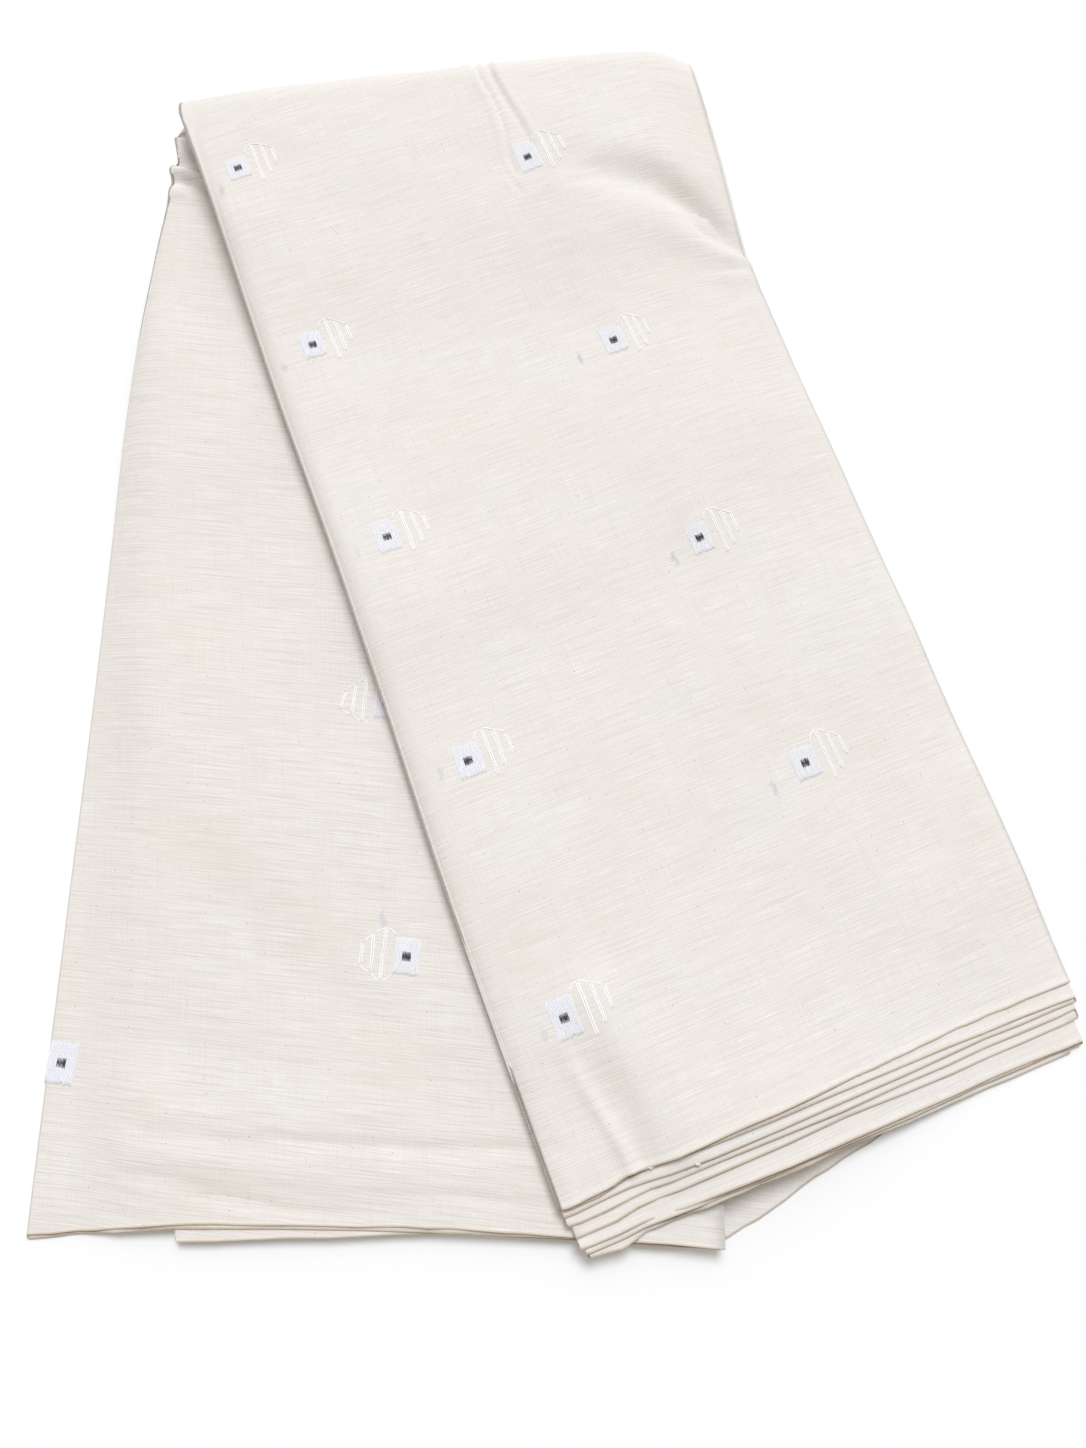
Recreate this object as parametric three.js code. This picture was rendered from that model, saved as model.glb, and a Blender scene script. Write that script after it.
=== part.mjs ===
// Folded length of handloom cotton cloth, in millimetres, +Z up.
//
// One sheet is folded back and forth across its width into a flat strip of eight layers. The strip
// is then doubled over, so that it lies as two legs that cross: the left leg on the surface, the
// right leg on top of it. Both selvedges end at the bottom of the legs.
//
// A place on the strip has three coordinates: across (from left to right over the strip), run (from
// the fold line down a leg) and level (1 for the outermost layer to 8 for the innermost).
import * as THREE from "three";

const { lerp, smoothstep, degToRad } = THREE.MathUtils;

// Sheet and layers
const SHEET = 1.0; // thickness of the cloth with its slubs
const LAYERS = 8;
const LEG_PITCH = 1.6; // from one layer to the next where the legs lie flat
const BEND_PITCH = 2.2; // the same at the top fold
const INNER_RADIUS = 2.5; // of the innermost layer in the top fold
const SETTLE_RUN = 170; // the layers close from one pitch to the other over this run
const OUTER_RADIUS = INNER_RADIUS + (LAYERS - 1) * BEND_PITCH;
const BEND_HEIGHT = OUTER_RADIUS + SHEET / 2; // of the axis of the top fold

// The fold line halves the angle between the legs
const LEG_ANGLE = degToRad(19.4); // of the right leg to the left one
const FOLD_ANGLE = LEG_ANGLE / 2;
const FOLD_MIDDLE = new THREE.Vector2(-60.8, 343.6); // the fold line passes here
const ORIGIN = new THREE.Vector2(8.8, 73.4); // middle of the outline, which becomes the origin

const FOLD_ALONG = direction(FOLD_ANGLE);
const FOLD_INTO = direction(FOLD_ANGLE - Math.PI / 2);
const RIGHT_LEG = {
  sign: 1,
  across: direction(LEG_ANGLE),
  down: direction(LEG_ANGLE - Math.PI / 2),
};
const LEFT_LEG = { sign: -1, across: direction(0), down: direction(-Math.PI / 2) };

// Side edges of the strip: a row for each run, with the across of both edges
const RIGHT_LEG_SIDES = [
  { run: 0, left: -131, right: 141 },
  { run: 50, left: -129.5, right: 135 },
  { run: 110, left: -128, right: 126 },
  { run: 170, left: -126.5, right: 121.5 },
  { run: 275, left: -123.5, right: 122 },
  { run: 430, left: -122.5, right: 120.5 },
  { run: 570, left: -118.5, right: 114.5 },
];
const LEFT_LEG_SIDES = [
  { run: 0, left: -131, right: 141 },
  { run: 110, left: -126, right: 139 },
  { run: 275, left: -112, right: 137 },
  { run: 570, left: -86.5, right: 134 },
];
// The two innermost layers of the left leg have swung out to the left
const SWUNG_SIDE = [
  { run: 0, left: -134 },
  { run: 22, left: -142 },
  { run: 60, left: -147 },
  { run: 110, left: -150.5 },
  { run: 170, left: -152 },
  { run: 300, left: -151 },
  { run: 570, left: -150 },
];
// The free end of the outermost layer shows as a slanting flap at the foot of the left leg
const FLAP_SIDE = [
  { run: 0, right: 141 },
  { run: 275, right: 142 },
  { run: 420, right: 165 },
  { run: 510, right: 212 },
  { run: 550, right: 226 },
];
const FLAP_CORNER = 128; // across, where its selvedge leaves the line of the foot
const FLAP_SLANT = 0.43; // run lost for each millimetre across

// Folds and free ends of the layers, in order along the cloth: how far each stands in from the
// side edge of the strip at the top fold and, from STEP_RUN on, towards the foot of each leg
const STEP_RUN = 400;
const TURNS = [
  { name: "outer free end", side: 1, top: 0, rightFoot: 0, leftFoot: 0, leftLeg: FLAP_SIDE },
  { name: "layers 1 and 2", side: -1, top: 0, rightFoot: 0, leftFoot: 5 },
  { name: "layers 2 and 3", side: 1, top: -2, rightFoot: 0.5, leftFoot: 5 },
  { name: "layers 3 and 4", side: -1, top: 1.5, rightFoot: 0.8, leftFoot: 3 },
  { name: "layers 4 and 5", side: 1, top: 1, rightFoot: 1.8, leftFoot: 3 },
  { name: "layers 5 and 6", side: -1, top: 1, rightFoot: 2.6, leftFoot: 0 },
  { name: "layers 6 and 7", side: 1, top: 2, rightFoot: 4, leftFoot: 1.5 },
  { name: "layers 7 and 8", side: -1, top: 2.5, rightFoot: 4.6, leftFoot: 0, leftLeg: SWUNG_SIDE },
  { name: "inner free end", side: 1, top: 3, rightFoot: 10, leftFoot: 0 },
];

// Selvedges: how far down each layer of a leg reaches at its left side, middle and right side
const RIGHT_LEG_ENDS = [
  { left: 562.5, middle: 535.5, right: 509.5 },
  { left: 563, middle: 538, right: 516.5 },
  { left: 565.5, middle: 541.5, right: 519.5 },
  { left: 570, middle: 545, right: 521 },
  { left: 574.5, middle: 549, right: 526 },
  { left: 580, middle: 557.5, right: 532.5 },
  { left: 583.5, middle: 559.5, right: 535.5 },
  { left: 584.5, middle: 561, right: 537.5 },
];
const LEFT_LEG_ENDS = [
  { left: 529.5, middle: 553, right: 589.5 },
  { left: 530.5, middle: 543.5, right: 568.5 },
  { left: 533.5, middle: 549.5, right: 575.5 },
  { left: 536.5, middle: 553.5, right: 579.5 },
  { left: 540.5, middle: 557.5, right: 583.5 },
  { left: 548, middle: 563.5, right: 588.5 },
  { left: 542.5, middle: 563, right: 587.5 },
  { left: 541, middle: 561.5, right: 588 },
];
const SWUNG_SLANT = 0.09; // run lost for each millimetre across on the swung layers

// Broad swells of the layers, each a soft ridge between two places in the layout
const SWELL_START = 80; // run by which they reach full height
const LOWEST_SHARE = 0.5; // of a swell, on the lowest layer of the right leg
const RIGHT_LEG_SWELLS = [
  { name: "ridge at the foot", fromX: 4, fromY: -120, toX: 40, toY: -205, width: 13, height: 3.5 },
  { name: "arch over the flap", fromX: 60, fromY: -140, toX: 100, toY: -200, width: 40, height: 4 },
  { name: "beside the middle", fromX: 30, fromY: 330, toX: 60, toY: 150, width: 34, height: 2.5 },
  { name: "right shoulder", fromX: 70, fromY: 300, toX: 20, toY: 345, width: 22, height: 2 },
  { name: "long left swell", fromX: -150, fromY: 250, toX: -20, toY: -90, width: 26, height: 2 },
];
const LEFT_LEG_SWELLS = [
  { name: "upper diagonal", fromX: -190, fromY: 190, toX: -90, toY: 60, width: 26, height: 2 },
  { name: "lower diagonal", fromX: -190, fromY: 20, toX: -80, toY: -90, width: 28, height: 2.2 },
  { name: "foot", fromX: -170, fromY: -178, toX: -20, toY: -196, width: 14, height: 1.8 },
];

// How the right leg comes off the left one on to the surface
const LEFT_LEG_EDGE_X = 74;
const COME_DOWN_X = 199;
const COME_DOWN_START = 20; // run
const COME_DOWN_END = 150;
const LEG_GAP = 2.2; // between the two legs
const FLAP_CLEAR = 1.7; // over the flap
const FLAP_REACH_X = 165; // past this the right leg comes down on the surface
const OFF_FLAP_X = 210;

// The swung layers reach the surface this far out from the layers under them
const SWUNG_DROOP_FROM = 9;
const SWUNG_DROOP_TO = 46;

// The right end of the top fold is rounded off: its corner lies lower in the layout
const CORNER = { fromX: -35, slope: 0.1, roundX: 55, endX: 92, round: 15, fromY: 190, toY: 335 };

// Mesh: lines across each layer, steps round each fold, rows along the legs and the bend
const LINES = [0.07, 0.24, 0.41, 0.58, 0.75, 0.93];
const SWUNG_LINES = [0.85, 0.62, 0.33]; // where an edge stands out: shares of the way to that edge
const FLAP_LINES = [0.2, 0.75];
const TURN_STEPS = 3;
const BEND_STEPS = 8;
const LEG_ROWS = [0.045, 0.12, 0.21, 0.31, 0.41, 0.51, 0.61, 0.71, 0.81, 0.9, 0.96];

function direction(angle) {
  return new THREE.Vector2(Math.cos(angle), Math.sin(angle));
}

// Smooth curve through a column of a table, read at a run
function readTable(rows, column, run) {
  const last = rows.length - 1;
  let i = 0;
  while (i < last - 1 && run > rows[i + 1].run) i += 1;
  const tangent = (k) => {
    const before = rows[Math.max(k - 1, 0)];
    const after = rows[Math.min(k + 1, last)];
    return (after[column] - before[column]) / (after.run - before.run);
  };
  const [a, b] = [rows[i], rows[i + 1]];
  const length = b.run - a.run;
  const u = THREE.MathUtils.clamp((run - a.run) / length, 0, 1);
  const rise = b[column] - a[column];
  const [startSlope, endSlope] = [tangent(i) * length, tangent(i + 1) * length];
  const hermite = (3 - 2 * u) * u * u * rise + u * (1 - u) ** 2 * startSlope;
  return a[column] + hermite - u * u * (1 - u) * endSlope;
}

// Height of the swells at a place in the layout
function swell(rows, x, y) {
  let height = 0;
  for (const row of rows) {
    const along = new THREE.Vector2(row.toX - row.fromX, row.toY - row.fromY);
    const from = new THREE.Vector2(x - row.fromX, y - row.fromY);
    const share = THREE.MathUtils.clamp(from.dot(along) / along.lengthSq(), 0, 1);
    const away = from.addScaledVector(along, -share).length();
    height += row.height * Math.exp(-((away / row.width) ** 2));
  }
  return height;
}

function pitchAt(run) {
  return lerp(BEND_PITCH, LEG_PITCH, smoothstep(run, 0, SETTLE_RUN));
}

// Place in the layout of a point of a leg
function legPlace(leg, across, run) {
  const down = run + leg.sign * across * Math.tan(FOLD_ANGLE);
  return FOLD_MIDDLE.clone().addScaledVector(leg.across, across).addScaledVector(leg.down, down);
}

// Across of a turn of the cloth on a leg
function turnAcross(leg, turn, run) {
  const sides = leg === RIGHT_LEG ? RIGHT_LEG_SIDES : LEFT_LEG_SIDES;
  const column = turn.side > 0 ? "right" : "left";
  const foot = leg === RIGHT_LEG ? turn.rightFoot : turn.leftFoot;
  const stepIn = lerp(turn.top, foot, smoothstep(run, 0, STEP_RUN));
  const own = leg === LEFT_LEG ? turn.leftLeg : undefined;
  return readTable(own ?? sides, column, run) - turn.side * stepIn;
}

// Run at which a layer ends, at a place across its leg
function endRun(leg, level, across) {
  const sides = leg === RIGHT_LEG ? RIGHT_LEG_SIDES : LEFT_LEG_SIDES;
  const foot = sides.at(-1);
  const share = THREE.MathUtils.clamp((across - foot.left) / (foot.right - foot.left), 0, 1);
  const ends = leg === RIGHT_LEG ? RIGHT_LEG_ENDS : LEFT_LEG_ENDS;
  const low = Math.min(Math.floor(level), LAYERS - 1);
  const [a, b] = [ends[low - 1], ends[low]];
  const part = level - low;
  const left = lerp(a.left, b.left, part);
  const middle = lerp(a.middle, b.middle, part);
  const right = lerp(a.right, b.right, part);
  const end = share < 0.5 ? lerp(left, middle, 2 * share) : lerp(middle, right, 2 * share - 1);
  if (leg === RIGHT_LEG) return end;
  if (level === 1) return end - FLAP_SLANT * Math.max(across - FLAP_CORNER, 0);
  return level > LAYERS - 2 ? end - SWUNG_SLANT * Math.max(foot.left - across, 0) : end;
}

// Run of a row of the mesh: a share of the way to the first end on the leg, or the end itself
function rowRun(row, level, across) {
  if (row.foot) return endRun(row.leg, level, across);
  let first = Infinity;
  for (let other = 1; other <= LAYERS; other += 1) {
    first = Math.min(first, endRun(row.leg, other, across));
  }
  return row.share * first;
}

// Height of the middle of a layer of the left leg, level 1 on the surface
function leftHeight(level, place, run) {
  const pitch = pitchAt(run);
  const edge = readTable(LEFT_LEG_SIDES, "left", run);
  const out = FOLD_MIDDLE.x + edge - place.x;
  const droop = level > LAYERS - 2 ? smoothstep(out, SWUNG_DROOP_FROM, SWUNG_DROOP_TO) : 0;
  const height = (level - 1) * pitch;
  const drooped = (level - (LAYERS - 1)) * pitch;
  const share = Math.max((level - 1) / (LAYERS - 1), 0);
  const lift = share * swell(LEFT_LEG_SWELLS, place.x, place.y) * smoothstep(run, 0, SWELL_START);
  return SHEET / 2 + lerp(height, drooped, droop) + lift * (1 - droop);
}

// Height of the middle of a layer of the right leg, level 8 lowest
function rightHeight(level, place, run) {
  const pitch = pitchAt(run);
  const onLeft = leftHeight(LAYERS, place, run);
  const bendTop = BEND_HEIGHT + INNER_RADIUS;
  const resting = lerp(bendTop, onLeft + LEG_GAP, smoothstep(run, 0, SETTLE_RUN));
  const onSurface = SHEET / 2 + FLAP_CLEAR * (1 - smoothstep(place.x, FLAP_REACH_X, OFF_FLAP_X));
  const comeDown = smoothstep(place.x, LEFT_LEG_EDGE_X, COME_DOWN_X);
  const begun = smoothstep(run, COME_DOWN_START, COME_DOWN_END);
  const support = lerp(resting, onSurface, comeDown * begun);
  const lift = swell(RIGHT_LEG_SWELLS, place.x, place.y) * smoothstep(run, 0, SWELL_START);
  const share = lerp(LOWEST_SHARE, 1, (LAYERS - level) / (LAYERS - 1));
  return support + (LAYERS - level) * pitch + share * lift;
}

// The right end of the top fold drops towards the legs
function roundCorner(place) {
  const near = smoothstep(place.y, CORNER.fromY, CORNER.toY);
  const along = CORNER.slope * Math.max(place.x - CORNER.fromX, 0);
  const corner = CORNER.round * smoothstep(place.x, CORNER.roundX, CORNER.endX);
  return new THREE.Vector2(place.x, place.y - near * (along + corner));
}

// Point in space of a place on the strip, moved out from the middle of the sheet by lift
function legPoint(leg, across, run, level, lift) {
  const place = legPlace(leg, across, run);
  const height = leg === RIGHT_LEG ? rightHeight : leftHeight;
  const rounded = roundCorner(place);
  const z = height(level, place, run) + leg.sign * lift;
  return new THREE.Vector3(rounded.x, rounded.y, z);
}

function bendPoint(across, turned, level, lift) {
  const radius = INNER_RADIUS + (LAYERS - level) * BEND_PITCH + lift;
  const place = FOLD_MIDDLE.clone()
    .addScaledVector(FOLD_ALONG, across / Math.cos(FOLD_ANGLE))
    .addScaledVector(FOLD_INTO, -radius * Math.sin(turned));
  const rounded = roundCorner(place);
  return new THREE.Vector3(rounded.x, rounded.y, BEND_HEIGHT + radius * Math.cos(turned));
}

// Stops along the section of the folded sheet, from the outer free end to the inner one
function sectionStops() {
  const stops = [];
  const swung = TURNS[LAYERS - 1];
  for (let layer = 1; layer <= LAYERS; layer += 1) {
    const [start, end] = [TURNS[layer - 1], TURNS[layer]];
    const forward = end.side > 0;
    const facing = forward ? 1 : -1;
    const across = LINES.map((line) => ({ line }));
    if (layer === 1) across.push(...FLAP_LINES.map((share) => ({ turn: start, share })));
    if (layer > LAYERS - 2) across.unshift(...SWUNG_LINES.map((share) => ({ turn: swung, share })));
    stops.push({ turn: start, inset: layer > 1, level: layer, facing });
    for (const place of forward ? across : across.toReversed()) {
      stops.push({ ...place, level: layer, facing });
    }
    stops.push({ turn: end, inset: layer < LAYERS, level: layer, facing });
    if (layer === LAYERS) break;
    for (let step = 1; step < TURN_STEPS; step += 1) {
      const angle = (Math.PI * step) / TURN_STEPS;
      stops.push({ turn: end, angle, level: layer + (1 - Math.cos(angle)) / 2, facing });
    }
  }
  return stops;
}

// Across of a stop, and the direction in which the sheet faces there
function stopPlace(leg, stop, run) {
  const radius = pitchAt(run) / 2;
  const sides = leg === RIGHT_LEG ? RIGHT_LEG_SIDES : LEFT_LEG_SIDES;
  const [left, right] = [readTable(sides, "left", run), readTable(sides, "right", run)];
  const flat = { faceAcross: 0, faceUp: stop.facing };
  if (stop.line !== undefined) return { ...flat, across: lerp(left, right, stop.line) };
  if (stop.share !== undefined) {
    const outer = lerp(left, right, stop.turn.side > 0 ? LINES.at(-1) : LINES[0]);
    return { ...flat, across: lerp(outer, turnAcross(leg, stop.turn, run), stop.share) };
  }
  const edge = turnAcross(leg, stop.turn, run);
  const centre = edge - stop.turn.side * radius;
  if (stop.angle === undefined) return { ...flat, across: stop.inset ? centre : edge };
  const out = Math.sin(stop.angle);
  return {
    across: centre + stop.turn.side * radius * out,
    faceAcross: stop.turn.side * stop.facing * out,
    faceUp: stop.facing * Math.cos(stop.angle),
  };
}

// Rows of the mesh, from the foot of the right leg over the bend to the foot of the left leg
function meshRows() {
  const legRows = (leg) => [...LEG_ROWS.map((share) => ({ leg, share })), { leg, foot: true }];
  const bend = [];
  for (let step = 0; step <= BEND_STEPS; step += 1) {
    bend.push({ turned: (Math.PI * step) / BEND_STEPS });
  }
  return [...legRows(RIGHT_LEG).reverse(), ...bend, ...legRows(LEFT_LEG)];
}

// Point of the outer face (side 1) or the inner face (side -1) of the sheet
function surfacePoint(stop, row, side) {
  const shift = (side * SHEET) / 2;
  if (row.leg === undefined) {
    const { across, faceAcross, faceUp } = stopPlace(RIGHT_LEG, stop, 0);
    return bendPoint(across + shift * faceAcross, row.turned, stop.level, shift * faceUp);
  }
  const footRun = RIGHT_LEG_SIDES.at(-1).run;
  const rough = stopPlace(row.leg, stop, row.foot ? footRun : row.share * footRun);
  const run = rowRun(row, stop.level, rough.across);
  const { across, faceAcross, faceUp } = stopPlace(row.leg, stop, run);
  return legPoint(row.leg, across + shift * faceAcross, run, stop.level, shift * faceUp);
}

// Closed skin round the folded sheet: two faces and a rim all round
function foldedSheet() {
  const stops = sectionStops();
  const rows = meshRows();
  const positions = [];
  for (const side of [1, -1]) {
    for (const row of rows) {
      for (const stop of stops) {
        const point = surfacePoint(stop, row, side);
        positions.push(point.x - ORIGIN.x, point.y - ORIGIN.y, point.z);
      }
    }
  }
  const index = [];
  const vertex = (side, row, stop) => (side * rows.length + row) * stops.length + stop;
  const top = (row, stop) => vertex(0, row, stop);
  const under = (row, stop) => vertex(1, row, stop);
  const quad = (a, b, c, d) => index.push(a, c, b, a, d, c);
  for (let row = 0; row < rows.length - 1; row += 1) {
    for (let stop = 0; stop < stops.length - 1; stop += 1) {
      const [r, s] = [row + 1, stop + 1];
      if (stops[stop].facing > 0) {
        quad(top(row, stop), top(r, stop), top(r, s), top(row, s));
        quad(under(row, stop), under(row, s), under(r, s), under(r, stop));
      } else {
        quad(top(r, stop), top(r, s), top(row, s), top(row, stop));
        quad(under(r, stop), under(row, stop), under(row, s), under(r, s));
      }
    }
  }
  const rim = (a, b) => quad(top(...a), top(...b), under(...b), under(...a));
  const [lastRow, lastStop] = [rows.length - 1, stops.length - 1];
  for (let row = 0; row < lastRow; row += 1) {
    rim([row + 1, 0], [row, 0]);
    rim([row, lastStop], [row + 1, lastStop]);
  }
  for (let stop = 0; stop < lastStop; stop += 1) {
    rim([0, stop], [0, stop + 1]);
    rim([lastRow, stop + 1], [lastRow, stop]);
  }
  const geometry = new THREE.BufferGeometry();
  geometry.setAttribute("position", new THREE.Float32BufferAttribute(positions, 3));
  geometry.setIndex(index);
  geometry.computeVertexNormals();
  return geometry;
}

const cotton = new THREE.MeshStandardMaterial({ color: 0xece6dc, roughness: 0.92, metalness: 0 });
const cloth = new THREE.Mesh(foldedSheet(), cotton);
cloth.name = "jamdani_cloth";

const part = new THREE.Group();
part.add(cloth);

export default part;
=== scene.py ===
"""Folded length of handloom cotton with woven-in motifs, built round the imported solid.

Sizes are in millimetres and become metres where meshes are made. A place in the layout is (x, y)
on the surface before ORIGIN is taken off, and the CAD's frame is the layout less ORIGIN.
"""

import math
import bpy
import numpy as np
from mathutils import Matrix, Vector
from mathutils.bvhtree import BVHTree


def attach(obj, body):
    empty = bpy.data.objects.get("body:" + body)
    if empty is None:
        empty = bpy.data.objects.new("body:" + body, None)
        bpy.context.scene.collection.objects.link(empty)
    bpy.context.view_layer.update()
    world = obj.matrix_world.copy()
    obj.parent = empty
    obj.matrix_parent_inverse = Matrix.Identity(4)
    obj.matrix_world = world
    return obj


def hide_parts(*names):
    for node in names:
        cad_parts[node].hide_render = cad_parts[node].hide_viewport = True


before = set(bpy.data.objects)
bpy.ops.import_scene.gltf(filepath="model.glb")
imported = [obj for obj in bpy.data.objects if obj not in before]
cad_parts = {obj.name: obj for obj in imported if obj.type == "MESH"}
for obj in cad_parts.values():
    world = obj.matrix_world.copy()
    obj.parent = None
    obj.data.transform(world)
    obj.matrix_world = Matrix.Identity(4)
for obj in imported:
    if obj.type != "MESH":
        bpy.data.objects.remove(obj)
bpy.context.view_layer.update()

MM = 0.001

# Camera, in the layout: it looks at the layout's zero point
CAMERA_DISTANCE = 469.2
CAMERA_ELEVATION = math.radians(74.2)
FOCAL_PX = 1000
PHOTO_HEIGHT_PX = 1448
SENSOR = 36

# Sheet and layers, as in the solid but thinner
SHEET = 0.45
SOLID_SHEET = 1.0
LAYERS = 8
LEG_PITCH = 1.6
BEND_PITCH = 2.2
INNER_RADIUS = 2.5
SETTLE_RUN = 170
OUTER_RADIUS = INNER_RADIUS + (LAYERS - 1) * BEND_PITCH
BEND_HEIGHT = OUTER_RADIUS + SOLID_SHEET / 2
CLOTH_WIDTH = 1140
LAYER_WIDTH = 247

LEG_ANGLE = math.radians(19.4)
FOLD_ANGLE = LEG_ANGLE / 2
FOLD_TAN = math.tan(FOLD_ANGLE)
FOLD_MIDDLE = np.array([-60.8, 343.6])
ORIGIN = np.array([8.8, 73.4])


def direction(angle):
    return np.array([math.cos(angle), math.sin(angle)])


FOLD_ALONG = direction(FOLD_ANGLE)
FOLD_INTO = direction(FOLD_ANGLE - math.pi / 2)
RIGHT_LEG = {"sign": 1, "across": direction(LEG_ANGLE), "down": direction(LEG_ANGLE - math.pi / 2)}
LEFT_LEG = {"sign": -1, "across": direction(0), "down": direction(-math.pi / 2)}


def rows_of(names, *values):
    """Table with named columns."""
    return {name: np.array(column, float) for name, column in zip(names, zip(*values))}


# Side edges of the strip
RIGHT_LEG_SIDES = rows_of(
    ("run", "left", "right"),
    (0, -129.5, 141),
    (50, -127.8, 135.6),
    (110, -127.5, 127.2),
    (170, -127, 122.8),
    (275, -124, 123.4),
    (430, -123, 122.2),
    (570, -119, 116.5),
)
LEFT_LEG_SIDES = rows_of(
    ("run", "left", "right"),
    (0, -131, 141),
    (110, -126, 139),
    (275, -112, 137),
    (570, -86.5, 134),
)
SWUNG_SIDE = rows_of(
    ("run", "left"),
    (0, -139),
    (10, -138.3),
    (15, -141.7),
    (22, -140.9),
    (42, -142.5),
    (60, -145),
    (110, -150),
    (170, -152),
    (300, -151),
    (570, -150),
)
FLAP_SIDE = rows_of(
    ("run", "right"),
    (0, 141),
    (275, 142),
    (420, 165),
    (510, 212),
    (550, 226),
)
FLAP_CORNER = 128
FLAP_SLANT = 0.43
SWUNG_SLANT = 0.09

# Folds and free ends of the layers, in order along the cloth
STEP_RUN = 400
TURN_COLUMNS = ("side", "top", "right_foot", "left_foot", "own")
TURNS = [dict(zip(TURN_COLUMNS, row)) for row in (
    (1, 0, 0, 0, FLAP_SIDE),
    (-1, 0, 0, 5, None),
    (1, -2, 0.5, 5, None),
    (-1, 1.5, 0.8, 3, None),
    (1, 1, 1.8, 3, None),
    (-1, 1, 2.6, 0, None),
    (1, 2, 4, 1.5, None),
    (-1, 2.5, 4.6, 0, SWUNG_SIDE),
    (1, 3, 10, 0, None),
)]

# How far down each layer reaches, level 1 first
LEVELS = tuple(f"level{level}" for level in range(1, LAYERS + 1))
RIGHT_LEG_ENDS = rows_of(
    ("across", *LEVELS),
    (-118.5, 561.5, 562.5, 564.5, 568.5, 573.5, 578, 580.5, 582),
    (-100, 557, 558, 560.5, 564.5, 570, 575, 577, 580.5),
    (-88, 552.5, 553.5, 557, 561, 565.5, 572, 574, 575.5),
    (-75, 550.5, 551.5, 556, 558.5, 563, 570, 571.5, 573),
    (-40, 543, 544, 549, 551.5, 555, 563, 564.5, 566),
    (0, 534, 537, 541, 544, 547, 556, 557, 558.5),
    (40, 525.5, 530, 533.5, 537, 541, 549.5, 550.5, 552),
    (80, 517, 523, 525.5, 529, 533, 541, 542, 544.5),
    (114.5, 510, 517, 519, 521.5, 526, 535, 536, 538),
)
LEFT_LEG_ENDS = rows_of(
    ("across", *LEVELS),
    (-86.5, 529.5, 530.5, 533.5, 536.5, 540.5, 548, 542.5, 541),
    (23.75, 553, 543.5, 549.5, 553.5, 557.5, 563.5, 563, 561.5),
    (134, 589.5, 568.5, 575.5, 579.5, 583.5, 588.5, 587.5, 588),
)

# Broad swells of the layers, between two places in the layout
SWELL_COLUMNS = ("from_x", "from_y", "to_x", "to_y", "width", "height")
SWELL_START = 80
LOWEST_SHARE = 0.5
RIGHT_LEG_SWELLS = rows_of(
    SWELL_COLUMNS,
    (22, -125, 67, -205, 13, 3.2),
    (60, -140, 100, -200, 40, 4),
    (30, 330, 60, 150, 34, 2.5),
    (70, 300, 20, 345, 22, 2),
    (-150, 250, -20, -90, 26, 2),
)
LEFT_LEG_SWELLS = rows_of(
    SWELL_COLUMNS,
    (-190, 190, -90, 60, 26, 2),
    (-190, 20, -80, -90, 28, 2.2),
    (-170, -172, -20, -190, 18, 0.9),
)

LEFT_LEG_EDGE_X = 74
COME_DOWN_X = 199
COME_DOWN_START = 20
COME_DOWN_END = 150
LEG_GAP = 2.2
FLAP_CLEAR = 1.7
FLAP_REACH_X = 165
OFF_FLAP_X = 210
SWUNG_DROOP_FROM = 9
SWUNG_DROOP_TO = 46
CORNER = {"from_x": -35, "slope": 0.1, "round_x": 55, "end_x": 92, "round": 15, "from_y": 190, "to_y": 335}


def lerp(a, b, share):
    return a + (b - a) * share


def smoothstep(x, low, high):
    t = np.clip((x - low) / (high - low), 0, 1)
    return t * t * (3 - 2 * t)


def read_table(rows, column, run):
    """Smooth curve through a column of a table."""
    runs, values = rows["run"], rows[column]
    last = len(runs) - 1
    run = np.asarray(run, float)
    i = np.searchsorted(runs[1:last], run, side="left")
    before, after = np.maximum(np.arange(last + 1) - 1, 0), np.minimum(np.arange(last + 1) + 1, last)
    slope = (values[after] - values[before]) / (runs[after] - runs[before])
    length = runs[i + 1] - runs[i]
    u = np.clip((run - runs[i]) / length, 0, 1)
    rise = values[i + 1] - values[i]
    start, end = slope[i] * length, slope[i + 1] * length
    return values[i] + (3 - 2 * u) * u * u * rise + u * (1 - u) ** 2 * start - u * u * (1 - u) * end


def swell(rows, x, y):
    """Height of soft ridges that run between two places."""
    height = np.zeros(np.broadcast(x, y).shape)
    for from_x, from_y, to_x, to_y, width, crest in zip(*(rows[name] for name in SWELL_COLUMNS)):
        along = np.array([to_x - from_x, to_y - from_y])
        dx, dy = x - from_x, y - from_y
        share = np.clip((dx * along[0] + dy * along[1]) / (along @ along), 0, 1)
        away = np.hypot(dx - share * along[0], dy - share * along[1])
        height = height + crest * np.exp(-((away / width) ** 2))
    return height


def pitch_at(run):
    return lerp(BEND_PITCH, LEG_PITCH, smoothstep(run, 0, SETTLE_RUN))


def leg_place(leg, across, run):
    """Place in the layout of a point of a leg."""
    down = run + leg["sign"] * across * FOLD_TAN
    return tuple(FOLD_MIDDLE[i] + leg["across"][i] * across + leg["down"][i] * down for i in (0, 1))


def sides_of(leg):
    return RIGHT_LEG_SIDES if leg is RIGHT_LEG else LEFT_LEG_SIDES


def turn_across(leg, turn, run):
    column = "right" if turn["side"] > 0 else "left"
    foot = turn["right_foot"] if leg is RIGHT_LEG else turn["left_foot"]
    step_in = lerp(turn["top"], foot, smoothstep(run, 0, STEP_RUN))
    own = turn["own"] if leg is LEFT_LEG else None
    return read_table(sides_of(leg) if own is None else own, column, run) - turn["side"] * step_in


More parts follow.
